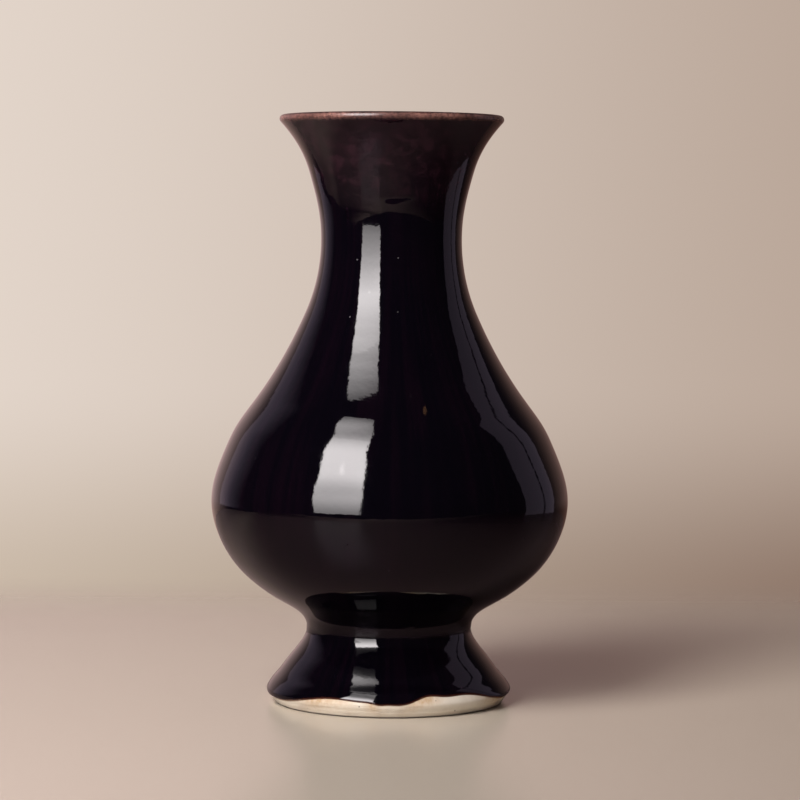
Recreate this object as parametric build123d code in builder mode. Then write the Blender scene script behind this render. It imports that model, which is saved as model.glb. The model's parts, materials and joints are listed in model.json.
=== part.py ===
from build123d import *

import os
from math import cos, radians, sin, tan

# A pear-shaped porcelain vase on a high splayed foot, in millimetres. Its axis is Z and its foot
# stands on z = 0. Four thrown sections are luted together with slip, and three coats of glaze
# cover them. Every piece is turned about the axis from one shared outline, in radius and height.

# Finished diameters, over the glaze
foot_diameter = 125.1
waist_diameter = 84.2
belly_diameter = 182.6
neck_diameter = 71.5
mouth_diameter = 114.4

# Rises, one on top of the other, from the table to the lip
foot_edge_rise = 7.0
foot_flare_rise = 31.0
bowl_rise = 65.0
shoulder_rise = 133.5
trumpet_rise = 63.5

# Porcelain walls under the glaze, and the coat of glaze
lip_wall = 3.0
neck_wall = 4.0
belly_wall = 4.8
floor_wall = 10.0
waist_wall = 6.8
glaze_coat = 0.6

# Lip and foot rim, with the slopes in degrees from the upright
lip_lean = 42.0
foot_bevel = 35.0
foot_edge_round = 3.4
rim_width = 6.6
rim_round = 1.4

# Level seams where the sections are luted, from the waist, the belly and the neck
slip_layer = 0.8
foot_seam_rise = 2.0
belly_seam_drop = 4.0
neck_seam_drop = 62.0

# Hollow under the foot, from the foot seam up and from the table to its glaze
recess_rise = 6.0
recess_round = 4.0
recess_glaze_height = 6.0

# Lower edge of the outer glaze, as it ran in the kiln: two waves round the foot, in degrees from
# the front
glaze_edge_rise = 1.4
broad_wave = 1.7
broad_wave_count = 2
broad_wave_turn = 21.0
ripple = 1.5
ripple_count = 6
ripple_turn = 27.0
wave_points = 48

# Fullness of the outline: how far a curve keeps to its end's direction, as a share of its rise
foot_edge_fullness = 0.15
waist_fullness_below = 0.26
waist_fullness_above = 0.27
belly_fullness_below = 0.30
belly_fullness_above = 0.30
neck_fullness_below = 0.45
neck_fullness_above = 0.43
lip_fullness = 0.48
floor_fullness = 0.70
inner_belly_fullness = 0.64
rim_fullness = 0.38
recess_fullness = 0.37

# Extra pull on two of the curves, as shares of their width and of their rise
bowl_swell = (0.66, 0.17)
trumpet_swell = (0.45, 0.52)

# Heights of the stations where the outline stands upright, of the seams and of the floor
waist_height = foot_edge_rise + foot_flare_rise
belly_height = waist_height + bowl_rise
neck_height = belly_height + shoulder_rise
top_height = neck_height + trumpet_rise
foot_seam = waist_height + foot_seam_rise
belly_seam = belly_height - belly_seam_drop
neck_seam = neck_height - neck_seam_drop
recess_height = foot_seam + recess_rise
floor_height = recess_height + floor_wall

# Round lip: the middle of its section, the way the wall runs into it, and the way across the wall
lip_round = lip_wall / 2 + glaze_coat
lip_middle = Vector(mouth_diameter / 2 - lip_round, top_height - lip_round)
lip_way = Vector(sin(radians(lip_lean)), cos(radians(lip_lean)))
lip_across = Vector(lip_way.Y, -lip_way.X)
lip_inside = lip_middle - lip_across * (lip_wall / 2)

# Stations of the glazed outside and of the bare inside
foot_edge = Vector(foot_diameter / 2, foot_edge_rise)
waist = Vector(waist_diameter / 2, waist_height)
belly = Vector(belly_diameter / 2, belly_height)
neck = Vector(neck_diameter / 2, neck_height)
inner_belly = belly - Vector(glaze_coat + belly_wall, 0)
inner_neck = neck - Vector(glaze_coat + neck_wall, 0)
floor_middle = Vector(0, floor_height)

# Foot rim: the edge turns under into a bevel, which runs down to the table
bevel_way = Vector(-sin(radians(foot_bevel)), -cos(radians(foot_bevel)))
bevel_across = Vector(-bevel_way.Y, bevel_way.X)
edge_middle = foot_edge - Vector(foot_edge_round + glaze_coat, 0)
edge_across = (bevel_across + Vector(1, 0)).normalized()
bevel_top = edge_middle + bevel_across * foot_edge_round
rim_outside = Vector(bevel_top.X - bevel_top.Y * tan(radians(foot_bevel)), 0)
rim_inside = rim_outside - Vector(rim_width, 0)
recess_top = Vector(waist.X - glaze_coat - waist_wall, recess_height - recess_round)
recess_corner = recess_top + Vector(-recess_round, recess_round)


def upright_curve(low, high, low_fullness, high_fullness):
    """Control points of a curve that stands upright at both ends."""
    rise = high.Y - low.Y
    return [low, low + Vector(0, low_fullness * rise), high - Vector(0, high_fullness * rise), high]


def swelled(points, swell):
    """The same curve with one more control point, at shares of its width and of its rise."""
    low, high = points[0], points[-1]
    pull = low + Vector(swell[0] * (high.X - low.X), swell[1] * (high.Y - low.Y))
    return [*points[:2], pull, *points[2:]]


def trumpet_curve(low, lip):
    """Control points from the upright neck to the leaning lip."""
    rise = lip.Y - low.Y
    points = [low, low + Vector(0, neck_fullness_above * rise), lip - lip_way * (lip_fullness * rise), lip]
    return swelled(points, trumpet_swell)


def beside(points, distance):
    """Control points of a curve alongside, to the right: each leg between two of them moves over."""
    legs = [(after - before).normalized() for before, after in zip(points, points[1:])]
    across = [Vector(leg.Y, -leg.X) for leg in legs]
    moved = [points[0] + across[0] * distance]
    for corner, before, after in zip(points[1:], across, across[1:]):
        moved.append(corner + (before + after) * (distance / (1 + before.dot(after))))
    return [*moved, points[-1] + across[-1] * distance]


# Curves of the outside from the foot edge up, over the glaze and under it
glazed_outside = [
    upright_curve(foot_edge, waist, foot_edge_fullness, waist_fullness_below),
    swelled(upright_curve(waist, belly, waist_fullness_above, belly_fullness_below), bowl_swell),
    upright_curve(belly, neck, belly_fullness_above, neck_fullness_below),
    trumpet_curve(neck, lip_middle + lip_across * lip_round),
]
bare_outside = [beside(points, -glaze_coat) for points in glazed_outside]

# Curves of the inside from the middle of the floor up, and of the hollow from the rim up
inner_rise = inner_belly.Y - floor_middle.Y
bare_inside = [
    [
        floor_middle,
        floor_middle + Vector(floor_fullness * inner_belly.X, 0),
        inner_belly - Vector(0, inner_belly_fullness * inner_rise),
        inner_belly,
    ],
    upright_curve(inner_belly, inner_neck, belly_fullness_above, neck_fullness_below),
    trumpet_curve(inner_neck, lip_inside),
]
glazed_inside = [beside(points, -glaze_coat) for points in bare_inside]
bare_recess = upright_curve(rim_inside, recess_top, rim_fullness, recess_fullness)
glazed_recess = beside(bare_recess, -glaze_coat)


def foot_turn(reach):
    """The round edge of the foot, down to the bevel, at a reach from its middle."""
    edge = edge_middle + Vector(reach, 0)
    return ThreePointArc(edge, edge_middle + edge_across * reach, edge_middle + bevel_across * reach)


def lip_turn(reach):
    """The round lip, from outside to inside, at a reach from its middle."""
    outside = lip_middle + lip_across * reach
    return ThreePointArc(outside, lip_middle + lip_way * reach, lip_middle - lip_across * reach)


# The porcelain wall, cut through on one side of the axis
with BuildSketch(Plane.XZ) as wall:
    with BuildLine():
        for points in (*bare_inside, *bare_outside, bare_recess):
            Bezier(*points)
        lip_turn(lip_wall / 2)
        foot_turn(foot_edge_round)
        Polyline(bevel_top, rim_outside, rim_inside)
        RadiusArc(recess_top, recess_corner, -recess_round)
        Polyline(recess_corner, (0, recess_height), floor_middle)
    make_face()
    fillet(wall.vertices().group_by(Axis.Y)[0], rim_round)


def wall_between(low, high):
    """The cut wall between two levels."""
    with BuildSketch(Plane.XZ) as band:
        add(wall.sketch_local)
        with Locations((belly.X / 2, (low + high) / 2)):
            Rectangle(belly.X, high - low, mode=Mode.INTERSECT)
    return band.sketch


# Thrown sections, from the foot up
with BuildPart() as foot_ring:
    add(wall_between(0, foot_seam - slip_layer / 2))
    revolve(axis=Axis.Z)
foot_ring.part.label = "foot_ring"

with BuildPart() as lower_bowl:
    add(wall_between(foot_seam + slip_layer / 2, belly_seam - slip_layer / 2))
    revolve(axis=Axis.Z)
lower_bowl.part.label = "lower_bowl"

with BuildPart() as shoulder_section:
    add(wall_between(belly_seam + slip_layer / 2, neck_seam - slip_layer / 2))
    revolve(axis=Axis.Z)
shoulder_section.part.label = "shoulder_section"

with BuildPart() as neck_section:
    add(wall_between(neck_seam + slip_layer / 2, top_height))
    revolve(axis=Axis.Z)
neck_section.part.label = "neck_section"

# Fired rings of slip in the seams
with BuildPart() as foot_luting:
    add(wall_between(foot_seam - slip_layer / 2, foot_seam + slip_layer / 2))
    revolve(axis=Axis.Z)
foot_luting.part.label = "foot_luting"

with BuildPart() as belly_luting:
    add(wall_between(belly_seam - slip_layer / 2, belly_seam + slip_layer / 2))
    revolve(axis=Axis.Z)
belly_luting.part.label = "belly_luting"

with BuildPart() as neck_luting:
    add(wall_between(neck_seam - slip_layer / 2, neck_seam + slip_layer / 2))
    revolve(axis=Axis.Z)
neck_luting.part.label = "neck_luting"


def glaze_edge(radius):
    """The wavy lower edge of the outer glaze, drawn round the axis at a radius."""
    points = []
    for step in range(wave_points):
        turn = 360 * step / wave_points
        broad = broad_wave * cos(radians(broad_wave_count * (turn - broad_wave_turn)))
        fine = ripple * cos(radians(ripple_count * (turn - ripple_turn)))
        height = foot_edge_rise + glaze_edge_rise + broad + fine
        points.append((radius * sin(radians(turn)), -radius * cos(radians(turn)), height))
    return Edge.make_spline(points, periodic=True)


# Outer glaze: over the lip, down the outside and over the foot edge as far as its wavy lower edge
coat_tail = bevel_way * (broad_wave + ripple)
glazed_bevel_top = bevel_top + bevel_across * glaze_coat
bare_ground = Face.make_surface_from_curves(glaze_edge(rim_inside.X), glaze_edge(belly.X))
with BuildPart() as outer_glaze:
    with BuildSketch(Plane.XZ):
        with BuildLine():
            for points in (*glazed_outside, *bare_outside):
                Bezier(*points)
            lip_turn(lip_round)
            lip_turn(lip_wall / 2)
            Line(lip_inside, lip_inside - lip_across * glaze_coat)
            foot_turn(foot_edge_round + glaze_coat)
            foot_turn(foot_edge_round)
            Polyline(bevel_top, bevel_top + coat_tail, glazed_bevel_top + coat_tail, glazed_bevel_top)
        make_face()
    revolve(axis=Axis.Z)
    extrude(bare_ground, amount=waist_height, dir=(0, 0, -1), mode=Mode.SUBTRACT)
outer_glaze.part.label = "outer_glaze"

# Inner glaze: from the lip down the inside and across the floor
with BuildPart() as inner_glaze:
    with BuildSketch(Plane.XZ):
        with BuildLine():
            for points in (*bare_inside, *glazed_inside):
                Bezier(*points)
            Line(lip_inside, lip_inside - lip_across * glaze_coat)
            Line(floor_middle, floor_middle + Vector(0, glaze_coat))
        make_face()
    revolve(axis=Axis.Z)
inner_glaze.part.label = "inner_glaze"

# Base glaze: across the hollow under the foot and down its wall, short of the rim
base_corner = recess_corner - Vector(0, glaze_coat)
with BuildPart() as base_glaze:
    with BuildSketch(Plane.XZ):
        with BuildLine():
            Bezier(*bare_recess)
            Bezier(*glazed_recess)
            RadiusArc(recess_top, recess_corner, -recess_round)
            RadiusArc(glazed_recess[-1], base_corner, glaze_coat - recess_round)
            Polyline(recess_corner, (0, recess_height), (0, base_corner.Y), base_corner)
            Line(rim_inside, glazed_recess[0])
        make_face()
        with Locations((belly.X / 2, recess_glaze_height / 2)):
            Rectangle(belly.X, recess_glaze_height, mode=Mode.SUBTRACT)
    revolve(axis=Axis.Z)
base_glaze.part.label = "base_glaze"

os.makedirs("parts", exist_ok=True)
export_step(foot_ring.part, "parts/foot_ring.step")
export_step(lower_bowl.part, "parts/lower_bowl.step")
export_step(shoulder_section.part, "parts/shoulder_section.step")
export_step(neck_section.part, "parts/neck_section.step")
export_step(foot_luting.part, "parts/foot_luting.step")
export_step(belly_luting.part, "parts/belly_luting.step")
export_step(neck_luting.part, "parts/neck_luting.step")
export_step(outer_glaze.part, "parts/outer_glaze.step")
export_step(inner_glaze.part, "parts/inner_glaze.step")
export_step(base_glaze.part, "parts/base_glaze.step")
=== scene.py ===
import json
from math import comb, cos, pi, radians, sin, tan
from typing import NamedTuple

import bpy
import numpy as np
from bpy.props import FloatProperty, FloatVectorProperty, PointerProperty
from bpy.types import Operator, Panel, PropertyGroup
from mathutils import Matrix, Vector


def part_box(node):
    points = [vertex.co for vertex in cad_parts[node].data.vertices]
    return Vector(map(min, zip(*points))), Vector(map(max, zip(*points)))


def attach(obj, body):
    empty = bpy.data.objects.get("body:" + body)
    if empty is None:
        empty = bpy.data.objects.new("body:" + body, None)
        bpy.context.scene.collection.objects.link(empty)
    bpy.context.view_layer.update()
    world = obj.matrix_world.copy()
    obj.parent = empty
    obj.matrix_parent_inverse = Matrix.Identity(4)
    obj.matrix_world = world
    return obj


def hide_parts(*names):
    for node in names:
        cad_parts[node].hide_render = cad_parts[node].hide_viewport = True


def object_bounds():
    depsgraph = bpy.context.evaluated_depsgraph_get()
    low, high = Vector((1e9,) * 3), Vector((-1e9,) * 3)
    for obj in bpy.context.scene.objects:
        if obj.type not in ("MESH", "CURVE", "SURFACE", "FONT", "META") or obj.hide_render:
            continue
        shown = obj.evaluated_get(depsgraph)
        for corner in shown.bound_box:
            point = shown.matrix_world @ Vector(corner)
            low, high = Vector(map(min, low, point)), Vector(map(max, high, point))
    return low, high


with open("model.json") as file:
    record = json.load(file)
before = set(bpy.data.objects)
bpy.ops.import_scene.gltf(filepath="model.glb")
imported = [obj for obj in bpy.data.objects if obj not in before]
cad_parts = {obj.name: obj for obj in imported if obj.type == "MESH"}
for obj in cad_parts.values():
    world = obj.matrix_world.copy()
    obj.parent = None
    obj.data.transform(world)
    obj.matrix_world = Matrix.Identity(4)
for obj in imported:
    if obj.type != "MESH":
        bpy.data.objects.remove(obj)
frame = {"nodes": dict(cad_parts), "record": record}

bl_info = {
    "name": "Pear-shaped vase",
    "version": (1, 0, 0),
    "blender": (4, 5, 0),
    "location": "3D View > Sidebar > Vase",
    "description": "Gives the packed vase its glaze and bare foot, and a plain studio to stand in",
    "category": "Object",
}

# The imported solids' box, and the levels that the pieces take from their nodes
cad_low, cad_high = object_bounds()
belly_reach = min(cad_high.x, cad_high.y, -cad_low.x, -cad_low.y)
foot_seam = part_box("foot_ring")[1].z
recess_glaze_low, recess_roof = (corner.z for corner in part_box("base_glaze"))
floor_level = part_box("inner_glaze")[0].z

MILLIMETRE = 0.001
COLUMNS = 240


class Ring(NamedTuple):
    """A shallow swell or hollow that the thrower's fingers left round the wall, in millimetres."""

    height: float
    reach: float
    swell: float


class Ripple(NamedTuple):
    """A faint spiral ripple of the thrown wall: its swell and pitch in millimetres, starts and phase."""

    swell: float
    pitch: float
    starts: int
    phase: float


class Lump(NamedTuple):
    """An uneven spot of the wall: its angle from the front in degrees, and lengths in millimetres."""

    angle: float
    height: float
    width: float
    reach: float
    swell: float


class Lobe(NamedTuple):
    """A stretch round the foot, in degrees, with a rise in millimetres or a share of colour."""

    angle: float
    reach: float
    rise: float


# Uneven spots at the mouth, on the right of the neck, behind, and in front on the shoulder
LUMPS = (
    Lump(1, 257.8, 5.0, 2.0, -0.32),
    Lump(13, 258.8, 4.5, 1.8, -0.22),
    Lump(-42, 247.0, 8.0, 5.0, 0.14),
    Lump(22, 243.0, 9.0, 5.0, 0.07),
    Lump(95, 228.0, 40.0, 30.0, 0.35),
    Lump(120, 240.0, 14.0, 8.0, 0.12),
    Lump(200, 248.0, 12.0, 7.0, -0.12),
    Lump(-14, 150.0, 30.0, 5.0, 0.50),
    Lump(-14, 136.8, 30.0, 5.5, 0.22),
    Lump(-14, 113.3, 30.0, 5.6, -0.29),
)

# The outer glaze's lower edge: its level from the foot's edge in millimetres, and its lobes
EDGE_LOW = -2.9
EDGE_LOBES = (
    Lobe(-27, 22, 5.1),
    Lobe(-3, 12, 1.8),
    Lobe(-4, 3, -0.8),
    Lobe(18, 9, 3.8),
    Lobe(38, 22, 6.5),
    Lobe(100, 22, 2.8),
    Lobe(150, 26, 4.4),
    Lobe(-150, 20, 3.2),
    Lobe(-108, 16, 2.0),
)

# Ochre flashes on the biscuit
FLASHES = (
    Lobe(-34, 9, 0.9),
    Lobe(-21, 6, 0.4),
    Lobe(-7, 3, 0.8),
    Lobe(17, 8, 1.0),
    Lobe(62, 12, 0.8),
    Lobe(128, 14, 0.9),
    Lobe(-125, 13, 0.9),
)

RIPPLES = (
    Ripple(0.005, 9.7, 1, 0.0),
    Ripple(0.004, 6.1, -1, 1.3),
    Ripple(0.007, 14.3, 2, 0.4),
)

# From the foot up
FINGER_RINGS = (
    Ring(12.9, 2.3, 0.15),
    Ring(15.0, 4.2, -0.28),
    Ring(24.0, 5.8, 0.22),
    Ring(28.0, 3.1, -0.03),
    Ring(33.3, 3.0, -0.10),
    Ring(54.4, 5.4, 0.23),
    Ring(71.0, 9.0, 0.14),
    Ring(121.0, 10.4, -0.11),
    Ring(141.4, 10.7, 1.00),
    Ring(167.0, 11.0, -0.23),
    Ring(178.0, 32.0, 0.67),
    Ring(193.0, 10.7, 0.24),
)


def length_setting(name, description, default):
    """A length that a user may change."""
    return FloatProperty(name=name, description=description, default=default, unit="LENGTH")


def angle_setting(name, description, degrees):
    """An angle that a user may change, given here in degrees."""
    return FloatProperty(name=name, description=description, default=radians(degrees), subtype="ANGLE")


def tint(name, description, red, green, blue):
    """A colour that a user may change, in linear light."""
    default = (red, green, blue, 1)
    return FloatVectorProperty(
        name=name, description=description, default=default, subtype="COLOR", size=4, min=0, max=1
    )


class VaseShape(PropertyGroup):
    """Sizes of the vase, over the glaze."""

    height: length_setting("Height", "From the table to the lip", cad_high.z)
    belly_diameter: length_setting("Belly", "Across the belly", 2 * belly_reach)
    foot_diameter: length_setting("Foot", "Across the foot's edge", 0.1251)
    waist_diameter: length_setting("Waist", "Across the waist over the foot", 0.0842)
    neck_diameter: length_setting("Neck", "Across the neck", 0.0715)
    mouth_diameter: length_setting("Mouth", "Across the lip", 0.1144)
    foot_edge_height: length_setting("Foot edge", "Height of the foot's widest edge", 0.007)
    waist_height: length_setting("Waist height", "Height of the waist", 0.038)
    belly_height: length_setting("Belly height", "Height of the widest belly", 0.103)
    neck_height: length_setting("Neck height", "Height of the narrowest neck", 0.2365)
    glaze_coat: length_setting("Glaze", "Thickness of the coat of glaze", 0.0006)


class VaseFinish(PropertyGroup):
    """Colours of the glaze and of the bare porcelain."""

    deep_glaze: tint("Deep glaze", "Glaze where it is thickest", 0.0011, 0.0007, 0.0019)
    purple_glaze: tint("Purple glaze", "Streaks where the glaze runs thinner", 0.0027, 0.0010, 0.0027)
    mouth_glaze: tint("Mouth glaze", "Glaze that has thinned under the lip", 0.0049, 0.0016, 0.0032)
    lip_glaze: tint("Lip glaze", "Russet glaze on the lip", 0.28, 0.136, 0.110)
    blotch_glaze: tint("Blotches", "Rosy blotches in the glaze under the lip", 0.015, 0.0050, 0.0085)
    fringe_glaze: tint("Fringe", "Thin red-brown line at the glaze's lower edge", 0.055, 0.016, 0.008)
    biscuit: tint("Biscuit", "Bare porcelain of the foot", 0.74, 0.685, 0.585)
    flash: tint("Flash", "Ochre flashes on the biscuit by the glaze", 0.47, 0.29, 0.13)


class VaseStage(PropertyGroup):
    """Camera, lights and floor."""

    camera_distance: length_setting("Camera distance", "From the axis to the camera", 1.5248)
    camera_height: length_setting("Camera height", "Height of the camera", 0.2414)
    camera_shift: length_setting("Camera shift", "Camera to the right of the axis", 0.0050)
    camera_pitch: angle_setting("Camera pitch", "Downward tilt", 3.248)
    camera_roll: angle_setting("Camera roll", "Turn about the line of sight", 0.357)
    lens: FloatProperty(
        name="Lens", description="Focal length in millimetres on a 36 mm sensor", default=134.22
    )
    # The floor is painted darker in front and lighter behind: painted shade towards the camera, painted
    # light behind the vase
    floor_near: tint("Floor in front", "Colour of the floor towards the camera", 0.575, 0.506, 0.418)
    floor_far: tint("Floor behind", "Colour of the floor behind the vase", 0.82, 0.735, 0.59)
    # The floor as the glaze mirrors it: painted shade away from the light and painted light where it falls
    mirrored_dark: tint("Dark in glaze", "Floor in the glaze, away from the light", 0.085, 0.044, 0.053)
    mirrored_light: tint("Light in glaze", "Floor in the glaze, where the light falls", 0.80, 0.64, 0.55)
    softbox_strength: FloatProperty(
        name="Softbox", description="Brightness of the tall softbox at its hottest", default=15.5
    )
    panel_strength: FloatProperty(
        name="Side panels", description="Brightness of the dim panels at the sides", default=0.22
    )


class VaseSettings(PropertyGroup):
    """All the settings of the vase."""

    shape: PointerProperty(type=VaseShape)
    finish: PointerProperty(type=VaseFinish)
    stage: PointerProperty(type=VaseStage)


# Fullness of the outline: how far a curve keeps to its end's direction, as a share of its rise
FOOT_EDGE_FULLNESS = 0.15
WAIST_FULLNESS_BELOW = 0.26
WAIST_FULLNESS_ABOVE = 0.27
BELLY_FULLNESS = 0.30
NECK_FULLNESS_BELOW = 0.45
NECK_FULLNESS_ABOVE = 0.43
LIP_FULLNESS = 0.48
FLOOR_FULLNESS = 0.70
INNER_BELLY_FULLNESS = 0.64
RIM_FULLNESS = 0.38
RECESS_FULLNESS = 0.37
BOWL_SWELL = (0.66, 0.17)
TRUMPET_SWELL = (0.45, 0.52)

# Walls and rounds under the glaze, in metres, and slopes in degrees from the upright
LIP_WALL = 0.0030
NECK_WALL = 0.0040
BELLY_WALL = 0.0048
WAIST_WALL = 0.0068
LIP_LEAN = 42.0
FOOT_BEVEL = 35.0
FOOT_EDGE_ROUND = 0.0034
RIM_WIDTH = 0.0066
RIM_ROUND = 0.0014
RECESS_ROUND = 0.0040

# A small mark in the glaze of the shoulder, and its half sizes
SCAR_PLACE = (0.0172, -0.0680, 0.1536)
SCAR_SIZE = (0.0011, 0.0040, 0.0024)

# Colours of small marks, and of painted shade and a painted contact shadow at the foot, in linear light
SCAR_COLOUR = (0.030, 0.016, 0.009, 1)
PIT_COLOUR = (0.004, 0.002, 0.003, 1)
STAIN_COLOUR = (0.50, 0.42, 0.34, 1)
# Painted shade: the colour that darkens the lowest few millimetres of the foot, where the bevel faces down
BEVEL_SHADE_COLOUR = (0.24, 0.18, 0.13, 1)
# Painted contact shadow: the colour of the rim's resting edge where it meets the table
CONTACT_SHADOW_COLOUR = (0.05, 0.04, 0.03, 1)
EDGE_LINE_COLOUR = (0.20, 0.085, 0.03, 1)
SPECK_COLOUR = (0.10, 0.055, 0.03, 1)
SLIP_COLOUR = (0.52, 0.45, 0.37, 1)

# The camera's sensor in millimetres, and the share of a light that shows in a second reflection
SENSOR_WIDTH = 36
SECOND_REFLECTION = 0.4


def point(radius, height):
    """A point of the outline: radius and height."""
    return np.array([radius, height], float)


def bezier(points, count=161):
    """Points of a Bezier curve: control point i weighs comb(n, i) t^i (1 - t)^(n - i)."""
    points = np.asarray(points, float)
    degree = len(points) - 1
    share = np.linspace(0, 1, count)[:, None]
    weights = [comb(degree, i) * share**i * (1 - share) ** (degree - i) for i in range(degree + 1)]
    return sum(weight * control for weight, control in zip(weights, points))


def arc(middle, radius, start, end, count=41):
    """Points of a circular arc: middle plus the radius turned from start to end, in degrees."""
    turn = np.radians(np.linspace(start, end, count))
    return middle + radius * np.column_stack([np.cos(turn), np.sin(turn)])


def upright_curve(low, high, low_fullness, high_fullness):
    """Control points of a curve that stands upright at both ends."""
    rise = point(0, high[1] - low[1])
    return [low, low + low_fullness * rise, high - high_fullness * rise, high]


def swelled(points, swell):
    """The same curve with one more control point, at shares of its width and of its rise."""
    pull = points[0] + np.array(swell) * (points[-1] - points[0])
    return [*points[:2], pull, *points[2:]]


def chain(*stretches):
    """Stretches of points end to end, without the doubled points where they meet."""
    points = np.concatenate(stretches)
    step = np.linalg.norm(np.diff(points, axis=0), axis=1)
    return points[np.concatenate([[True], step > 1e-9])]


def ease(value, low, high):
    """Share of the way from low to high, held between 0 and 1, with smooth ends: s^2 (3 - 2 s)."""
    share = np.clip((value - low) / (high - low), 0, 1)
    return share * share * (3 - 2 * share)


def lengths(points):
    """Length along the points from the first one: the running sum of their steps."""
    steps = np.linalg.norm(np.diff(points, axis=0), axis=1)
    return np.concatenate([[0], np.cumsum(steps)])


def outward(points):
    """Unit normals on the left of the way along the points: the tangent turned by a right angle."""
    tangent = np.gradient(points, lengths(points), axis=0)
    tangent /= np.linalg.norm(tangent, axis=1)[:, None]
    return np.column_stack([-tangent[:, 1], tangent[:, 0]])


class Outline:
    """The vase cut through on one side of the axis, as curves of radius and height."""

    def __init__(self, shape):
        self.coat = coat = shape.glaze_coat
        self.lip_round = LIP_WALL / 2 + coat
        self.lip_middle = point(shape.mouth_diameter / 2, shape.height) - self.lip_round
        self.lip_way = point(sin(radians(LIP_LEAN)), cos(radians(LIP_LEAN)))
        self.lip_across = point(self.lip_way[1], -self.lip_way[0])
        self.foot_edge = point(shape.foot_diameter / 2, shape.foot_edge_height)
        self.waist = point(shape.waist_diameter / 2, shape.waist_height)
        self.belly = point(shape.belly_diameter / 2, shape.belly_height)
        self.neck = point(shape.neck_diameter / 2, shape.neck_height)
        self.edge_middle = self.foot_edge - point(FOOT_EDGE_ROUND + coat, 0)
        self.bevel_way = point(-sin(radians(FOOT_BEVEL)), -cos(radians(FOOT_BEVEL)))

    def trumpet(self, low, lip):
        """Curve from the upright neck to the leaning lip."""
        rise = lip[1] - low[1]
        above_neck = low + point(0, NECK_FULLNESS_ABOVE * rise)
        below_lip = lip - self.lip_way * (LIP_FULLNESS * rise)
        return bezier(swelled([low, above_neck, below_lip, lip], TRUMPET_SWELL))

    def lower_side(self):
        """Down the outside from the belly through the waist to the foot's edge, over the glaze."""
        bowl = upright_curve(self.waist, self.belly, WAIST_FULLNESS_ABOVE, BELLY_FULLNESS)
        foot = upright_curve(self.foot_edge, self.waist, FOOT_EDGE_FULLNESS, WAIST_FULLNESS_BELOW)
        return chain(bezier(swelled(bowl, BOWL_SWELL))[::-1], bezier(foot)[::-1])

    def foot_turn(self, reach):
        """The foot's round edge at a reach from its middle, down to the bevel."""
        return arc(self.edge_middle, reach, 0, -FOOT_BEVEL)

    def glazed_outside(self):
        """Over the lip from its inner side, down the outside and along the bevel to the table."""
        shoulder = upright_curve(self.belly, self.neck, BELLY_FULLNESS, NECK_FULLNESS_BELOW)
        turn = self.foot_turn(FOOT_EDGE_ROUND + self.coat)
        bevel = np.linspace(turn[-1], turn[-1] + self.bevel_way * self.foot_edge[1] / 2, 21)
        return chain(
            arc(self.lip_middle, self.lip_round, 180 - LIP_LEAN, -LIP_LEAN),
            self.trumpet(self.neck, self.lip_middle + self.lip_across * self.lip_round)[::-1],
            bezier(shoulder)[::-1],
            self.lower_side(),
            turn,
            bevel,
        )

    def bare_outside(self, top):
        """Under the glaze from a level down the foot and round its edge to the bevel."""
        side = self.lower_side()
        side = side - outward(side) * self.coat
        return chain(side[side[:, 1] < top], self.foot_turn(FOOT_EDGE_ROUND))

    def rim(self, turn_end):
        """The flat rim and its two rounded corners, from the end of the bevel to the inside."""
        outer = point(turn_end[0] - turn_end[1] * tan(radians(FOOT_BEVEL)), 0)
        inner = outer - point(RIM_WIDTH, 0)
        setback = RIM_ROUND * tan(radians(90 - FOOT_BEVEL) / 2)
        outer_middle = outer + point(-setback, RIM_ROUND)
        inner_middle = inner + RIM_ROUND
        return chain(
            arc(outer_middle, RIM_ROUND, -FOOT_BEVEL, -90, 13),
            arc(inner_middle, RIM_ROUND, -90, -180, 13),
        )

    def recess(self, rim_inside):
        """The hollow's wall from the rim's inner edge up, its round corner, and its roof to the axis."""
        top = point(self.waist[0] - self.coat - WAIST_WALL, recess_roof - RECESS_ROUND)
        wall = upright_curve(rim_inside, top, RIM_FULLNESS, RECESS_FULLNESS)
        corner = arc(top - point(RECESS_ROUND, 0), RECESS_ROUND, 0, 90, 21)
        roof = np.linspace(corner[-1], point(0, recess_roof), 41)
        return bezier(wall), corner, roof

    def bare_inside(self):
        """Under the lining glaze: from the middle of the floor up the inside to the lip."""
        middle = point(0, floor_level)
        belly = self.belly - point(self.coat + BELLY_WALL, 0)
        neck = self.neck - point(self.coat + NECK_WALL, 0)
        lip = self.lip_middle - self.lip_across * (LIP_WALL / 2)
        on_floor = middle + point(FLOOR_FULLNESS * belly[0], 0)
        below_belly = belly - point(0, INNER_BELLY_FULLNESS * (belly[1] - middle[1]))
        return chain(
            bezier([middle, on_floor, below_belly, belly]),
            bezier(upright_curve(belly, neck, BELLY_FULLNESS, NECK_FULLNESS_BELOW)),
            self.trumpet(neck, lip),
        )


def finger_rings(height):
    """Sum of the finger rings: each is its swell times exp(-((height - its height) / its reach)^2)."""
    level = height / MILLIMETRE
    rings = [ring.swell * np.exp(-(((level - ring.height) / ring.reach) ** 2)) for ring in FINGER_RINGS]
    return MILLIMETRE * sum(rings)


def fine_throwing(height, turn):
    """Sum of the ripples: each is its swell times sin(2 pi height / pitch + starts * angle + phase)."""
    level = height / MILLIMETRE
    return MILLIMETRE * sum(
        row.swell * np.sin(2 * pi * level / row.pitch + row.starts * turn + row.phase) for row in RIPPLES
    )


def turn_from(turn, degrees):
    """Angle from a place round the axis, between minus and plus half a turn."""
    return (turn - radians(degrees) + pi) % (2 * pi) - pi


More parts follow.
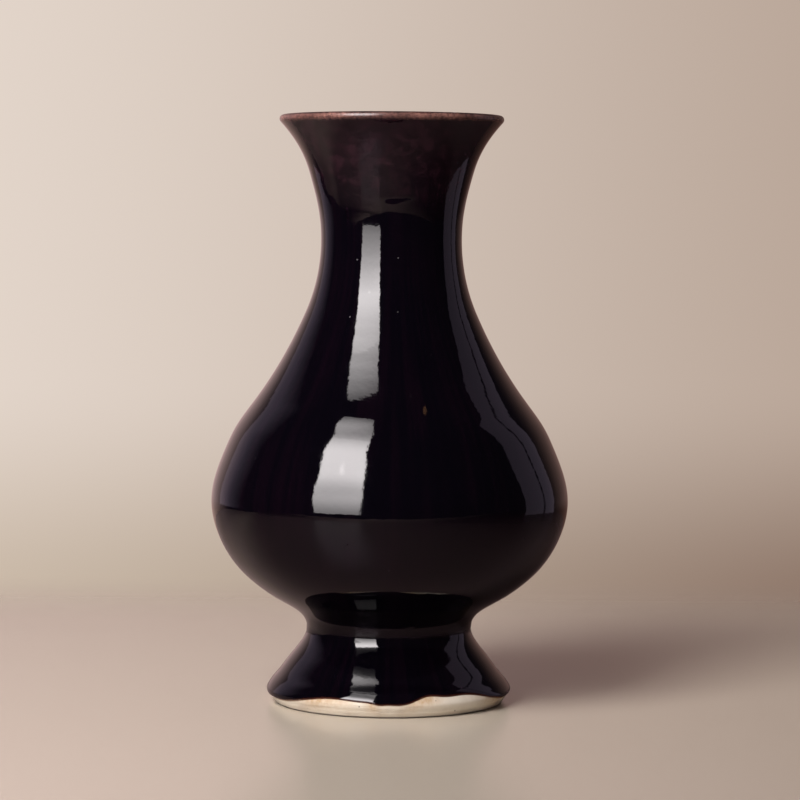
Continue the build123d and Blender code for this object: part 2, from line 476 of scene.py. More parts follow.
def wall_lumps(height, turn, radius):
    """Sum of the uneven spots: each is its swell times exp(-(across / width)^2 - (up / reach)^2)."""
    across = [turn_from(turn, lump.angle) * radius / (lump.width * MILLIMETRE) for lump in LUMPS]
    up = [(height / MILLIMETRE - lump.height) / lump.reach for lump in LUMPS]
    return MILLIMETRE * sum(
        lump.swell * np.exp(-(wide**2) - tall**2) for lump, wide, tall in zip(LUMPS, across, up)
    )


def lobes(turn, rows):
    """Each lobe round the foot: its rise times exp(-(angle from its middle / its reach)^2)."""
    return [row.rise * np.exp(-((turn_from(turn, row.angle) / radians(row.reach)) ** 2)) for row in rows]


def glaze_edge(turn):
    """Height of the outer glaze's lower edge: a low level plus its lobes."""
    edge = bpy.context.scene.vase.shape.foot_edge_height / MILLIMETRE + EDGE_LOW
    return MILLIMETRE * (edge + sum(lobes(turn, EDGE_LOBES)))


def angles():
    """Angles of the columns round the axis, from the front towards the right, as one row."""
    return np.linspace(0, 2 * pi, COLUMNS, endpoint=False)[None, :]


def turned(radius, height, turn):
    """Points of a turned surface: radius times the sine, minus radius times the cosine, and height."""
    return np.stack([radius * np.sin(turn), -radius * np.cos(turn), height + 0 * turn], axis=-1)


def skin(name, grid, loop=False, first_pole=False, last_pole=False):
    """Mesh object of a grid of points whose columns close round the axis.

    Quad (i, j) joins rows i and i + 1 and columns j and j + 1, and the last column joins the first. Seen
    from its outer side the rows run down and the columns to the right. With loop the last row joins the
    first row, and a pole is a row that shrinks to one point on the axis.
    """
    rows, columns = grid.shape[:2]
    index = np.arange(rows * columns).reshape(rows, columns)
    low = index if loop else index[:-1]
    high = np.roll(index, -1, axis=0) if loop else index[1:]
    corners = [low, high, np.roll(high, -1, axis=1), np.roll(low, -1, axis=1)]
    quads = np.stack(corners, axis=-1).reshape(-1, 4)
    faces = [quads]
    if first_pole:
        quads = quads[columns:]
        faces = [quads, np.column_stack([np.full(columns, index[0, 0]), index[1], np.roll(index[1], -1)])]
    if last_pole:
        quads = quads[:-columns]
        fan = np.column_stack([index[-2], np.full(columns, index[-1, 0]), np.roll(index[-2], -1)])
        faces = [quads, *faces[1:], fan]
    used = np.unique(np.concatenate([face.ravel() for face in faces]))
    renumber = np.zeros(rows * columns, int)
    renumber[used] = np.arange(len(used))
    loops = np.concatenate([renumber[face].ravel() for face in faces])
    sides = np.concatenate([np.full(len(face), face.shape[1]) for face in faces])
    mesh = bpy.data.meshes.new(name)
    mesh.vertices.add(len(used))
    mesh.vertices.foreach_set("co", grid.reshape(-1, 3)[used].astype(np.float32).ravel())
    mesh.loops.add(len(loops))
    mesh.loops.foreach_set("vertex_index", loops.astype(np.int32))
    mesh.polygons.add(len(sides))
    mesh.polygons.foreach_set("loop_start", np.concatenate([[0], np.cumsum(sides)[:-1]]).astype(np.int32))
    mesh.polygons.foreach_set("use_smooth", np.ones(len(sides), bool))
    mesh.update(calc_edges=True)
    mesh.validate()
    thing = bpy.data.objects.new(name, mesh)
    bpy.context.scene.collection.objects.link(thing)
    return thing, used


def give_points(thing, name, values, used=slice(None)):
    """Writes a number for each used point of a grid as an attribute that the material reads."""
    attribute = thing.data.attributes.new(name, "FLOAT", "POINT")
    attribute.data.foreach_set("value", values.reshape(-1)[used].astype(np.float32))


class Nodes:
    """The nodes of a material or a world under construction, with short calls for them."""

    def __init__(self, owner):
        owner.use_nodes = True
        self.tree = owner.node_tree
        self.tree.nodes.clear()

    def node(self, kind, inputs=None, **settings):
        """Adds a node, sets its options, and links or sets its inputs by name or number."""
        made = self.tree.nodes.new(kind)
        for key, value in settings.items():
            setattr(made, key, value)
        for key, value in (inputs or {}).items():
            self.plug(made.inputs[key], value)
        return made

    def plug(self, socket, value):
        """Links an output to a socket, or sets the socket's own value."""
        if isinstance(value, bpy.types.NodeSocket):
            self.tree.links.new(value, socket)
        else:
            socket.default_value = value

    def maths(self, operation, first, second=0.0):
        """One sum, product, power or other step of arithmetic."""
        return self.node("ShaderNodeMath", {0: first, 1: second}, operation=operation).outputs[0]

    def vector(self, operation, first, second=(0, 0, 0)):
        """One step of arithmetic on vectors or colours."""
        return self.node("ShaderNodeVectorMath", {0: first, 1: second}, operation=operation).outputs[0]

    def reading(self, attribute):
        """A number that the mesh holds for each of its points."""
        return self.node("ShaderNodeAttribute", attribute_name=attribute).outputs["Fac"]

    def between(self, value, low, high, to_low=0.0, to_high=1.0):
        """Maps a value from one range to another with smooth ends, and holds it there."""
        inputs = {"Value": value, "From Min": low, "From Max": high, "To Min": to_low, "To Max": to_high}
        return self.node("ShaderNodeMapRange", inputs, interpolation_type="SMOOTHSTEP").outputs[0]

    def blend(self, share, first, second):
        """Mixes two colours."""
        made = self.node("ShaderNodeMix", data_type="RGBA")
        self.plug(made.inputs[0], share)
        self.plug(made.inputs[6], first)
        self.plug(made.inputs[7], second)
        return made.outputs[2]


class Finish(Nodes):
    """A procedural material of one surface."""

    def __init__(self, name):
        self.material = bpy.data.materials.new(name)
        super().__init__(self.material)
        self.shader = self.node("ShaderNodeBsdfPrincipled")
        self.node("ShaderNodeOutputMaterial", {"Surface": self.shader.outputs["BSDF"]})

    def surface(self, **inputs):
        """Sets the shader's sockets: base_color becomes Base Color, and so on."""
        for key, value in inputs.items():
            self.plug(self.shader.inputs[key.replace("_", " ").title().replace("Ior", "IOR")], value)

    def place(self):
        """Object coordinates and their three parts."""
        coordinates = self.node("ShaderNodeTexCoord").outputs["Object"]
        return coordinates, self.node("ShaderNodeSeparateXYZ", {0: coordinates}).outputs

    def noise(self, vector, scale, detail=2.0, roughness=0.5):
        """Smooth noise from 0 to 1."""
        inputs = {"Vector": vector, "Scale": scale, "Detail": detail, "Roughness": roughness}
        return self.node("ShaderNodeTexNoise", inputs).outputs[0]

    def round_axis(self, round_scale, height_scale):
        """Coordinates that follow the wall: the direction from the axis, and the height, each scaled."""
        coordinates, parts = self.place()
        flat = self.node("ShaderNodeCombineXYZ", {0: parts[0], 1: parts[1], 2: 0.0}).outputs[0]
        unit = self.vector("NORMALIZE", flat)
        wide = self.vector("MULTIPLY", unit, (round_scale, round_scale, 0))
        tall = self.vector("MULTIPLY", coordinates, (0, 0, height_scale))
        return self.vector("ADD", wide, tall)

    def bump(self, height, distance, strength=1.0, normal=None):
        """Normal of a surface raised by a height map, over another normal if one is given."""
        inputs = {"Height": height, "Distance": distance, "Strength": strength}
        if normal is not None:
            inputs["Normal"] = normal
        return self.node("ShaderNodeBump", inputs).outputs[0]

    def pinholes(self, coordinates, cells, share, size):
        """Sparse round pits: 0 in the pits of a share of the cells, and 1 elsewhere."""
        pit = self.node("ShaderNodeTexVoronoi", {"Vector": coordinates, "Scale": cells})
        chosen = self.node("ShaderNodeSeparateColor", {0: pit.outputs["Color"]}).outputs[0]
        open_cell = self.maths("LESS_THAN", chosen, share)
        rim = self.between(pit.outputs["Distance"], size * 0.4, size, 1.0, 0.0)
        return self.maths("SUBTRACT", 1.0, self.maths("MULTIPLY", open_cell, rim))

    def scar(self, coordinates):
        """One small upright mark in the glaze of the shoulder: 1 in it, and 0 elsewhere."""
        sized = self.vector("DIVIDE", self.vector("SUBTRACT", coordinates, SCAR_PLACE), SCAR_SIZE)
        reach = self.node("ShaderNodeVectorMath", {0: sized}, operation="LENGTH").outputs["Value"]
        ragged = self.maths("ADD", reach, self.noise(coordinates, 900.0))
        return self.between(ragged, 1.0, 1.6, 1.0, 0.0)


def glaze_finish(name, finish, top, edge_attribute=None):
    """Glossy near-black purple glaze with streaks that ran down, pinholes, and russet on the thin lip."""
    made = Finish(name)
    coordinates, parts = made.place()

    # Streaks and clouds of purple in the deep glaze
    streaks = made.noise(made.round_axis(16, 9), 1.0, 4.0, 0.55)
    clouds = made.noise(coordinates, 22.0, 3.0)
    both = made.maths("ADD", made.maths("MULTIPLY", streaks, 0.65), made.maths("MULTIPLY", clouds, 0.35))
    colour = made.blend(made.between(both, 0.42, 0.66), finish.deep_glaze, finish.purple_glaze)

    # Thinner glaze and rosy blotches in the mouth, whose lower end wanders with fine streaks
    fine_streaks = made.noise(made.round_axis(42, 14), 1.0, 3.0)
    wander = made.maths("MULTIPLY", made.maths("SUBTRACT", fine_streaks, 0.5), 0.030)
    level = made.maths("ADD", parts[2], wander)
    colour = made.blend(made.between(level, top - 0.050, top - 0.004, 0.0, 0.9), colour, finish.mouth_glaze)
    blotches = made.between(made.noise(made.round_axis(7, 190), 1.0, 3.0, 0.6), 0.44, 0.70)
    under_lip = made.between(level, top - 0.046, top - 0.028)
    colour = made.blend(made.maths("MULTIPLY", blotches, under_lip), colour, finish.blotch_glaze)

    # Freckled russet on the lip, fainter on some stretches and on the very top
    freckle = made.between(made.noise(coordinates, 700.0, 3.0, 0.6), 0.30, 0.70, 0.35, 1.0)
    uneven = made.between(made.noise(made.round_axis(2.4, 0), 1.0, 2.0), 0.36, 0.62, 0.45, 1.0)
    edge_level = made.maths("ADD", parts[2], made.maths("MULTIPLY", wander, 0.06))
    thin = made.between(edge_level, top - 0.0047, top - 0.0015)
    thin = made.maths("MULTIPLY", thin, made.between(edge_level, top - 0.0011, top - 0.0002, 1.0, 0.30))
    thin = made.maths("MULTIPLY", thin, made.maths("MULTIPLY", freckle, uneven))
    colour = made.blend(thin, colour, finish.lip_glaze)
    if edge_attribute:
        edge = made.reading(edge_attribute)
        colour = made.blend(made.between(edge, 0.0, 0.0011, 1.0, 0.0), colour, finish.fringe_glaze)
        colour = made.blend(made.scar(coordinates), colour, SCAR_COLOUR)

    # Soft swells, a fine orange peel and the pinholes
    pits = made.pinholes(coordinates, 300.0, 0.03, 0.14)
    normal = made.bump(made.noise(coordinates, 70.0, 2.0), 0.00005)
    normal = made.bump(made.noise(coordinates, 420.0, 2.0), 0.00002, 1.0, normal)
    normal = made.bump(pits, 0.00016, 0.5, normal)
    colour = made.blend(pits, PIT_COLOUR, colour)
    rough = made.between(made.noise(coordinates, 55.0, 4.0), 0.3, 0.75, 0.02, 0.06)
    rough = made.maths("ADD", rough, made.between(parts[2], top - 0.005, top - 0.001, 0.0, 0.25))
    rough = made.maths("ADD", rough, made.maths("MULTIPLY", made.maths("SUBTRACT", 1.0, pits), 0.3))
    made.surface(base_color=colour, roughness=rough, ior=1.52, normal=normal)
    return made.material


def biscuit_finish(name, finish, edge_attribute=None):
    """Matt cream porcelain: fine turning lines, ochre flashes by the glaze, iron specks, soft stains, and
    painted shade at the bottom.
    """
    made = Finish(name)
    coordinates, parts = made.place()
    stain = made.noise(coordinates, 60.0, 4.0, 0.6)
    colour = made.blend(made.between(stain, 0.45, 0.75, 0.0, 0.55), finish.biscuit, STAIN_COLOUR)
    # Painted shade: the biscuit darkens over its lowest 4.2 mm, where the downward bevel is shaded
    colour = made.blend(made.between(parts[2], 0.0, 0.0042, 0.40, 0.0), colour, BEVEL_SHADE_COLOUR)
    # Painted contact shadow along the lowest millimetre, where the rim rests on the table
    colour = made.blend(made.between(parts[2], 0.0003, 0.0013, 0.9, 0.0), colour, CONTACT_SHADOW_COLOUR)
    if edge_attribute:
        below = made.reading(edge_attribute)
        ragged = made.between(made.noise(made.round_axis(30, 400), 1.0, 3.0, 0.6), 0.25, 0.70, 0.45, 1.0)
        near = made.maths("MULTIPLY", made.between(below, 0.0, 0.0075, 1.0, 0.0), ragged)
        colour = made.blend(made.maths("MULTIPLY", made.reading("flash"), near), colour, finish.flash)
        colour = made.blend(made.between(below, 0.0, 0.0007, 0.8, 0.0), colour, EDGE_LINE_COLOUR)
    specks = made.pinholes(coordinates, 420.0, 0.035, 0.22)
    colour = made.blend(specks, SPECK_COLOUR, colour)
    normal = made.bump(made.noise(made.round_axis(1.2, 1900), 1.0, 2.0), 0.00012, 0.5)
    normal = made.bump(made.noise(coordinates, 900.0, 3.0), 0.00008, 0.5, normal)
    made.surface(base_color=colour, roughness=0.82, specular_ior_level=0.25, normal=normal)
    return made.material


def slip_finish(name, finish):
    """Fired slip in the seams: cream like the biscuit, a little greyer, with a smeared grain."""
    made = Finish(name)
    smear = made.noise(made.round_axis(14, 300), 1.0, 3.0)
    colour = made.blend(smear, finish.biscuit, SLIP_COLOUR)
    made.surface(base_color=colour, roughness=0.88, normal=made.bump(smear, 0.0001, 0.6))
    return made.material


def dress(thing, material, slot, *nodes):
    """Gives a piece its material and its body, and hides the nodes that it stands for. The slot is not
    used.
    """
    thing.data.materials.append(material)
    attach(thing, "root")
    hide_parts(*nodes)


def even_rows(points, rows):
    """Rows spread along the points by their length."""
    along = lengths(points)
    places = np.linspace(0, along[-1], rows)
    return np.column_stack([np.interp(places, along, points[:, i]) for i in range(2)])


def crowded(rows, power):
    """Shares from 0 to 1 that crowd towards 1: 1 - (1 - s)^power."""
    return 1 - (1 - np.linspace(0, 1, rows)[:, None]) ** power


def place_at(height, path, below):
    """Length along a path to a height on its last stretch, which lies below a level and only falls."""
    falling = path[:, 1] < below
    return np.interp(-height, -path[falling, 1], lengths(path)[falling])


def follow(path, places):
    """Radius, height, and the outward normal's two parts, at lengths along a path."""
    return [np.interp(places, lengths(path), values) for values in (*path.T, *outward(path).T)]


def rounded_edge(distance, reach):
    """Share of a coat's thickness near its edge, as on a quarter circle: sqrt(1 - (1 - d / reach)^2)."""
    return np.sqrt(np.clip(1 - (1 - np.clip(distance / reach, 0, 1)) ** 2, 0, 1))


class VASE_OT_outer_glaze(Operator):
    """Coat the outside in glaze, from inside the lip to a wavy roll at the foot"""

    bl_idname = "vase.outer_glaze"
    bl_label = "Outer glaze"

    # Rows over the lip, down the wall, from there to the edge, and on the hidden side
    lip_rows = 20
    wall_rows = 290
    edge_rows = 41
    hidden_rows = 48

    # Rows are level down to this height, and below it they crowd towards the wavy edge
    level_height = 0.0145
    level_margin = 0.002
    edge_crowding = 1.7

    # The roll of glaze along the edge, by its distance from the edge
    roll_round = 0.0011
    roll_swell = 0.00010
    roll_place = 0.0019
    roll_reach = 0.0016

    # The rings fade at the widest belly, and all unevenness at the glaze's edge and below the lip
    belly_fade = 0.012
    edge_fade = 0.004
    lip_clear = 0.006
    lip_fade = 0.020

    def execute(self, context):
        settings = context.scene.vase
        outline = Outline(settings.shape)
        path = outline.glazed_outside()
        turn = angles()
        lip_end = pi * outline.lip_round
        level_end = lengths(path)[np.nonzero(path[:, 1] > self.level_height)[0][-1]]
        end = place_at(glaze_edge(turn), path, self.level_height + self.level_margin)
        lip = np.linspace(0, lip_end, self.lip_rows)[:-1]
        wall = np.linspace(lip_end, level_end, self.wall_rows)
        upper = np.concatenate([lip, wall])[:, None] + 0 * turn
        lower = level_end + (end - level_end) * crowded(self.edge_rows, self.edge_crowding)[1:]
        places = np.concatenate([upper, lower])
        distance = end - places
        radius, height, out, up = follow(path, places)
        lift = self.lift(settings.shape, radius, height, distance, turn)
        outer = turned(radius + lift * out, height + lift * up, turn)
        hidden_places = end * (1 - np.linspace(0, 1, self.hidden_rows)[1:, None])
        radius, height, out, up = follow(path, hidden_places)
        inner = turned(radius - outline.coat * out, height - outline.coat * up, turn)
        coat, used = skin("outer_glaze_coat", np.concatenate([outer, inner]), loop=True)
        give_points(coat, "above_edge", np.concatenate([distance, end - hidden_places]), used)
        material = glaze_finish("aubergine glaze", settings.finish, settings.shape.height, "above_edge")
        dress(coat, material, "aubergine_glaze", "outer_glaze")
        return {"FINISHED"}

    def lift(self, shape, radius, height, distance, turn):
        """Height of the coat over the outline: its rounded edge with a roll, plus the uneven wall."""
        roll = self.roll_swell * np.exp(-(((distance - self.roll_place) / self.roll_reach) ** 2))
        coat = (shape.glaze_coat + roll) * rounded_edge(distance, self.roll_round) - shape.glaze_coat
        from_belly = np.clip(np.abs(height - shape.belly_height) / self.belly_fade, 0, 1)
        uneven = (finger_rings(height) + fine_throwing(height, turn)) * from_belly
        uneven = uneven + wall_lumps(height, turn, radius)
        uneven = uneven * np.clip(distance / self.edge_fade, 0, 1)
        return coat + uneven * np.clip((shape.height - self.lip_clear - height) / self.lip_fade, 0, 1)


class VASE_OT_lining_glaze(Operator):
    """Line the inside with glaze, from the lip down to the floor"""

    bl_idname = "vase.lining_glaze"
    bl_label = "Lining glaze"

    shown_rows = 240
    hidden_rows = 60

    # Spiral throwing ripples, which die out on the floor and below the lip
    ripple_swell = 0.00018
    ripple_pitch = 0.0105
    ripple_fade = 0.020
    lip_clear = 0.012

    def execute(self, context):
        settings = context.scene.vase
        outline = Outline(settings.shape)
        bare = even_rows(outline.bare_inside(), self.shown_rows)
        inward = outward(bare)
        glazed = bare + inward * outline.coat
        glazed[0, 0] = bare[0, 0] = 0
        turn = angles()
        radius, height = glazed[:, :1], glazed[:, 1:]
        ripple = self.ripple_swell * np.sin(2 * pi * height / self.ripple_pitch + turn)
        from_axis = np.clip(radius / self.ripple_fade, 0, 1)
        from_lip = np.clip((settings.shape.height - self.lip_clear - height) / self.ripple_fade, 0, 1)
        lift = ripple * from_axis * from_lip
        inner = turned(radius + lift * inward[:, :1], height + lift * inward[:, 1:], turn)
        hidden = even_rows(bare, self.hidden_rows)[::-1]
        outer = turned(hidden[:, :1], hidden[:, 1:], turn)
        grid = np.concatenate([inner, outer])
        lining = skin("lining_glaze_coat", grid, first_pole=True, last_pole=True)[0]
        material = glaze_finish("lining glaze", settings.finish, settings.shape.height)
        dress(lining, material, "lining_glaze", "inner_glaze")
        return {"FINISHED"}


class VASE_OT_bare_foot(Operator):
    """Turn the foot ring, bare below the glaze, with its bevel, rim and hollow"""

    bl_idname = "vase.bare_foot"
    bl_label = "Bare foot"

    section_rows = 240

    # Lathe lines and wear, which die out up the foot and where the rim rests
    lathe_swell = 0.00006
    lathe_pitch = 0.0021
    wear_swell = 0.00010
    marked_height = 0.012
    rest_fade = 0.001

    def execute(self, context):
        settings = context.scene.vase
        outline = Outline(settings.shape)
        side = outline.bare_outside(foot_seam)
        rim = outline.rim(side[-1])
        wall = outline.recess(point(rim[-1, 0], 0))[0]
        wall = wall[(wall[:, 1] > rim[-1, 1]) & (wall[:, 1] < foot_seam)]
        section = even_rows(chain(side, rim, wall), self.section_rows)
        out = outward(section)
        turn = angles()
        radius, height = section[:, :1], section[:, 1:]
        lathe = self.lathe_swell * np.sin(2 * pi * height / self.lathe_pitch + 0.6 * np.sin(3 * turn))
        wear = self.wear_swell * np.sin(5 * turn + 1.0) * np.sin(11 * turn + 0.3)
        low = np.clip(1 - height / self.marked_height, 0, 1) * np.clip(height / self.rest_fade, 0, 1)
        lift = low * (lathe + wear)
        grid = turned(radius + lift * out[:, :1], height + lift * out[:, 1:], turn)
        foot, used = skin("bare_foot_ring", grid, loop=True)
        give_points(foot, "below_glaze", glaze_edge(turn) - height, used)
        give_points(foot, "flash", sum(lobes(turn, FLASHES)) + 0 * height, used)
        material = biscuit_finish("bare porcelain", settings.finish, "below_glaze")
        dress(foot, material, "porcelain", "foot_ring")
        return {"FINISHED"}


class VASE_OT_base_glaze(Operator):
    """Glaze the hollow under the foot, down to an uneven edge short of the rim"""

    bl_idname = "vase.base_glaze"
    bl_label = "Base glaze"

    # Rows from the middle of the roof to the edge, crowded there, and every sixth on the hidden side
    shown_rows = 151
    edge_crowding = 1.3
    hidden_step = 6

    # The edge: its rise over the node's lowest glaze, its wave and its round
    edge_rise = 0.0006
    edge_wave = 0.0005
    edge_round = 0.0010
    wall_top = 0.030

    def execute(self, context):
        settings = context.scene.vase
        outline = Outline(settings.shape)
        rim = outline.rim(outline.bare_outside(foot_seam)[-1])
        path = chain(*outline.recess(point(rim[-1, 0], 0)))[::-1]
        turn = angles()
        edge = recess_glaze_low + self.edge_rise + self.edge_wave * np.cos(3 * turn + 0.7)
        end = place_at(edge, path, self.wall_top)
        places = end * crowded(self.shown_rows, self.edge_crowding)
        radius, height, out, up = follow(path, places)
        lift = -outline.coat * rounded_edge(end - places, self.edge_round)
        shown = turned(radius + lift * out, height + lift * up, turn)
        back = slice(-2, None, -self.hidden_step)
        grid = np.concatenate([shown, turned(radius[back], height[back], turn)])
        grid[0, :, :2] = 0
        grid[-1, :, :2] = 0
        glaze = skin("base_glaze_coat", grid[::-1], first_pole=True, last_pole=True)[0]
        material = glaze_finish("base glaze", settings.finish, settings.shape.height)
        dress(glaze, material, "lining_glaze", "base_glaze")
        return {"FINISHED"}


class VASE_OT_hidden_porcelain(Operator):
    """Give the sections and seams under the glaze their bare porcelain and fired slip"""

    bl_idname = "vase.hidden_porcelain"
    bl_label = "Porcelain under the glaze"

    def execute(self, context):
        finish = context.scene.vase.finish
        porcelain = biscuit_finish("porcelain under glaze", finish)
        slip = slip_finish("fired slip", finish)
        for row in frame["record"]["subparts"]:
            node = frame["nodes"][row["node"]]
            if node.hide_render:
                continue
            node.data.materials.clear()
            node.data.materials.append(slip if row["material_slot"] == "fired_slip" else porcelain)
        return {"FINISHED"}


def emission(name, colour, strength, attribute):
    """Light that adds to what lies behind it, as strong as an attribute of the mesh says.

    In a second reflection it keeps only a share of its strength.
    """
    material = bpy.data.materials.new(name)
    made = Nodes(material)
    reflections = made.node("ShaderNodeLightPath").outputs["Glossy Depth"]
    power = made.between(reflections, 1.0, 2.0, strength, SECOND_REFLECTION * strength)
    power = made.maths("MULTIPLY", power, made.reading(attribute))
    glow = made.node("ShaderNodeEmission", {"Color": colour, "Strength": power})
    clear = made.node("ShaderNodeBsdfTransparent")
    both = made.node("ShaderNodeAddShader", {0: glow.outputs[0], 1: clear.outputs[0]})
    made.node("ShaderNodeOutputMaterial", {"Surface": both.outputs[0]})
    return material


def sheet(name, grid, **attributes):
    """Mesh object of an open grid of points, with attributes for its points."""
    rows, columns = grid.shape[:2]
    index = np.arange(rows * columns).reshape(rows, columns)
    corners = [index[:-1, :-1], index[:-1, 1:], index[1:, 1:], index[1:, :-1]]
    quads = np.stack(corners, axis=-1).reshape(-1, 4)
    mesh = bpy.data.meshes.new(name)
    mesh.from_pydata(grid.reshape(-1, 3).tolist(), [], quads.tolist())
    mesh.update()
    thing = bpy.data.objects.new(name, mesh)
    bpy.context.scene.collection.objects.link(thing)
    for key, values in attributes.items():
        give_points(thing, key, values)
    return thing


class Card(NamedTuple):
    """An upright card of light facing the vase: angles in degrees round the vase, lengths in metres."""

    name: str
    low_span: tuple
    high_span: tuple
    low: float
    high: float
    strength: float
    colour: tuple
    distance: float = 1.10
    peak: float = 0.60
    spread_below: float = 4.0
    spread_above: float = 4.0
    soft_start: float = 0.03
    soft_end: float = 0.03


def light_card(card):
    """Mesh of a card of light.

    Its two upright edges run from the low span to the high span. Its light is the strength times
    exp(-(distance from the peak / spread)^1.5), with one spread below the peak and one above it, and it
    fades at the two upright edges over shares of the width.
    """
    middle = radians(sum(card.low_span) / 2)
    across, up = np.meshgrid(np.linspace(0, 1, 41), np.linspace(0, 1, 81))
    height = card.low + (card.high - card.low) * up
    edges = np.radians([*card.low_span, *card.high_span]) - middle
    low_start, low_end, high_start, high_end = card.distance * np.tan(edges)
    start = low_start + (high_start - low_start) * up
    end = low_end + (high_end - low_end) * up
    along = start + (end - start) * across
    x = card.distance * sin(middle) + along * cos(middle)
    y = along * sin(middle) - card.distance * cos(middle)
    spread = np.where(height < card.peak, card.spread_below, card.spread_above)
    glow = np.exp(-((np.abs(height - card.peak) / spread) ** 1.5))
    glow = glow * np.clip(across / card.soft_start, 0, 1) * np.clip((1 - across) / card.soft_end, 0, 1)
    sheeted = sheet(card.name, np.stack([x, y, height], axis=-1), glow=glow)
    sheeted.data.materials.append(emission(card.name, card.colour, card.strength, "glow"))
    sheeted.visible_camera = False
    sheeted.visible_shadow = False


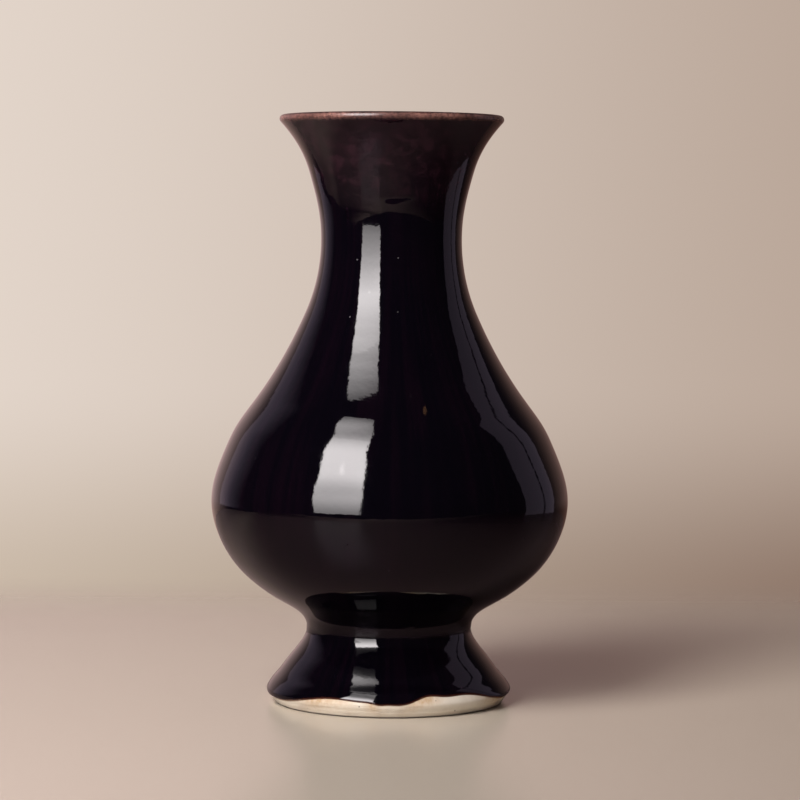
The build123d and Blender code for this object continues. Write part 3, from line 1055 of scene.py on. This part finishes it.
class VASE_OT_studio(Operator):
    """Set the floor, the lights, the backdrop and the camera"""

    bl_idname = "vase.studio"
    bl_label = "Studio"

    # How far the table top reaches from the vase
    floor_left = 1.30
    floor_right = 1.75
    floor_front = 0.84
    floor_back = 0.554

    def execute(self, context):
        stage = context.scene.vase.stage
        self.floor(stage)
        self.lights(stage)
        self.backdrop(context.scene)
        self.camera(context.scene, stage)
        context.scene.view_settings.view_transform = "Standard"
        return {"FINISHED"}

    def floor(self, stage):
        """A pale table top with rounded corners, where |x / side|^8 + |y / depth|^8 = 1.

        Its edge is crisp in the glaze. For the camera it fades into the backdrop behind the vase.
        """
        wide = np.linspace(-self.floor_left, self.floor_right, 184)
        deep = np.linspace(-self.floor_front, self.floor_back, 128)
        x, y = np.meshgrid(wide, deep)
        side = np.where(x < 0, self.floor_left - 0.35 * ease(y, -0.4, 0.2), self.floor_right)
        depth = np.where(y < 0, self.floor_front, self.floor_back)
        inside = 1 - ((x / side) ** 8 + (y / depth) ** 8) ** 0.125
        # Painted light in the floor the glaze mirrors: pools on the left, in front and behind on the left,
        # with painted shade elsewhere
        on_left = 0.15 * (1 - ease(x, -0.1, 0.6))
        in_front = 0.42 * ease(-y, 0.45, self.floor_front)
        behind_left = 0.42 * ease(y, -0.06, 0.08) * (1 - 0.4 * ease(y, 0.08, 0.30))
        behind_left = behind_left * (1 - 0.85 * ease(x, -0.2, 0.1))
        floor = sheet(
            "floor",
            np.stack([x, y, 0 * x], axis=-1),
            shown=ease(inside, 0, np.where(y < 0, 0.05, 0.47)),
            mirrored=ease(inside, 0, 0.012),
            behind=np.clip((y + 0.28) / 0.62, 0, 1),
            light=on_left + in_front + behind_left,
        )
        made = Finish("pale floor")
        in_glaze = made.node("ShaderNodeLightPath").outputs["Is Glossy Ray"]
        # Painted shade in front and painted light behind, ramped across the floor's depth
        seen = made.blend(made.reading("behind"), stage.floor_near, stage.floor_far)
        mirrored = made.blend(made.reading("light"), stage.mirrored_dark, stage.mirrored_light)
        kept = {0: in_glaze, 2: made.reading("shown"), 3: made.reading("mirrored")}
        made.surface(
            base_color=made.blend(in_glaze, seen, mirrored),
            roughness=0.25,
            specular_ior_level=made.between(in_glaze, 0.0, 1.0, 0.85, 0.40),
            specular_tint=made.blend(in_glaze, (1, 1, 1, 1), (1, 0.78, 0.95, 1)),
            alpha=made.node("ShaderNodeMix", kept).outputs[0],
        )
        floor.data.materials.append(made.material)

    def lights(self, stage):
        """A tall softbox in front on the left, a small lamp in it, and dim cool panels on both sides."""
        warm, cool = (1.0, 0.945, 0.95, 1), (0.93, 0.75, 1.0, 1)
        hot, dim = stage.softbox_strength, stage.panel_strength
        box = {"low_span": (-46.5, -17.0), "low": 0.098, "colour": warm}
        box.update(peak=0.76, spread_below=0.50, spread_above=0.76)
        outer, core = (-59.7, -16.5), (-54.3, -16.7)
        spot = {"colour": warm, "peak": 0.70, "spread_below": 0.02, "spread_above": 0.02}
        spot.update(low_span=(-36.5, -31.5), high_span=(-36.5, -31.5), soft_start=0.5, soft_end=0.5)
        panel = {"low": 0.0, "high": 0.95, "strength": dim, "colour": cool, "distance": 0.80}
        left = {"low": 0.02, "high": 1.30, "strength": 1.25 * dim, "colour": cool, "soft_end": 0.6}
        cards = (
            Card("softbox", high_span=outer, high=1.97, strength=0.85 * hot, distance=0.90, **box),
            Card("softbox_core", high_span=core, high=1.24, strength=0.15 * hot, distance=0.89, **box),
            Card("lamp", low=0.65, high=0.75, strength=0.3 * hot, distance=0.88, **spot),
            Card("right_panel", (92, 112), (92, 112), **panel),
            Card("far_right_panel", (113.2, 126), (113.2, 126), **panel),
            Card("left_panel", (-137, -106), (-137, -106), **left),
        )
        for card in cards:
            light_card(card)

    def backdrop(self, scene):
        """Pale warm paper behind the vase, and for the glaze a dark studio with that paper."""
        scene.world = bpy.data.worlds.new("studio")
        made = Nodes(scene.world)
        way = made.node("ShaderNodeTexCoord").outputs["Generated"]
        across, ahead, up = made.node("ShaderNodeSeparateXYZ", {0: way}).outputs
        rays = made.node("ShaderNodeLightPath").outputs
        # Painted light and shade on the paper: lighter on the left and higher up, darker to the right and
        # low down, and the same in the glaze
        right = made.between(across, -0.207, 0.207)
        high = made.blend(right, (0.785, 0.685, 0.61, 1), (0.47, 0.365, 0.30, 1))
        low = made.blend(right, (0.61, 0.505, 0.405, 1), (0.24, 0.158, 0.120, 1))
        paper = made.blend(made.between(up, -0.127, -0.048), low, high)
        rose = made.blend(right, (0.88, 0.70, 0.76, 1), (0.52, 0.40, 0.42, 1))
        behind = made.blend(rays["Is Glossy Ray"], paper, made.vector("MULTIPLY", paper, rose))
        dark = made.blend(rays["Is Glossy Ray"], (0.050, 0.041, 0.034, 1), (0.016, 0.013, 0.019, 1))
        behind = made.blend(made.between(up, 0.22, 0.60), behind, dark)
        studio = made.blend(made.between(ahead, 0.54, 1.0), dark, behind)
        shown = made.node("ShaderNodeBackground", {"Color": paper}).outputs[0]
        lit = made.node("ShaderNodeBackground", {"Color": studio}).outputs[0]
        mix = made.node("ShaderNodeMixShader", {0: rays["Is Camera Ray"], 1: lit, 2: shown})
        made.node("ShaderNodeOutputWorld", {"Surface": mix.outputs[0]})

    def camera(self, scene, stage):
        """A long lens at the photograph's height and tilt."""
        lens = bpy.data.cameras.new("camera")
        lens.lens = stage.lens
        lens.sensor_width = SENSOR_WIDTH
        camera = bpy.data.objects.new("camera", lens)
        scene.collection.objects.link(camera)
        place = Matrix.Translation((stage.camera_shift, -stage.camera_distance, stage.camera_height))
        tilt = Matrix.Rotation(pi / 2 - stage.camera_pitch, 4, "X")
        camera.matrix_world = place @ tilt @ Matrix.Rotation(stage.camera_roll, 4, "Z")
        scene.camera = camera


class VASE_PT_panel(Panel):
    """The vase's steps in the sidebar"""

    bl_idname = "VASE_PT_panel"
    bl_label = "Vase"
    bl_space_type = "VIEW_3D"
    bl_region_type = "UI"
    bl_category = "Vase"

    def draw(self, context):
        for step in STEPS:
            self.layout.operator(step.bl_idname)


STEPS = (
    VASE_OT_outer_glaze,
    VASE_OT_lining_glaze,
    VASE_OT_bare_foot,
    VASE_OT_base_glaze,
    VASE_OT_hidden_porcelain,
    VASE_OT_studio,
)
CLASSES = (VaseShape, VaseFinish, VaseStage, VaseSettings, *STEPS, VASE_PT_panel)


def register():
    """Registers the settings, the steps and the panel."""
    for kind in CLASSES:
        bpy.utils.register_class(kind)
    bpy.types.Scene.vase = PointerProperty(type=VaseSettings)


def unregister():
    """Removes the settings, the steps and the panel."""
    del bpy.types.Scene.vase
    for kind in reversed(CLASSES):
        bpy.utils.unregister_class(kind)


def main():
    register()
    bpy.ops.vase.outer_glaze()
    bpy.ops.vase.lining_glaze()
    bpy.ops.vase.bare_foot()
    bpy.ops.vase.base_glaze()
    bpy.ops.vase.hidden_porcelain()
    bpy.ops.vase.studio()


if __name__ == "__main__":
    main()
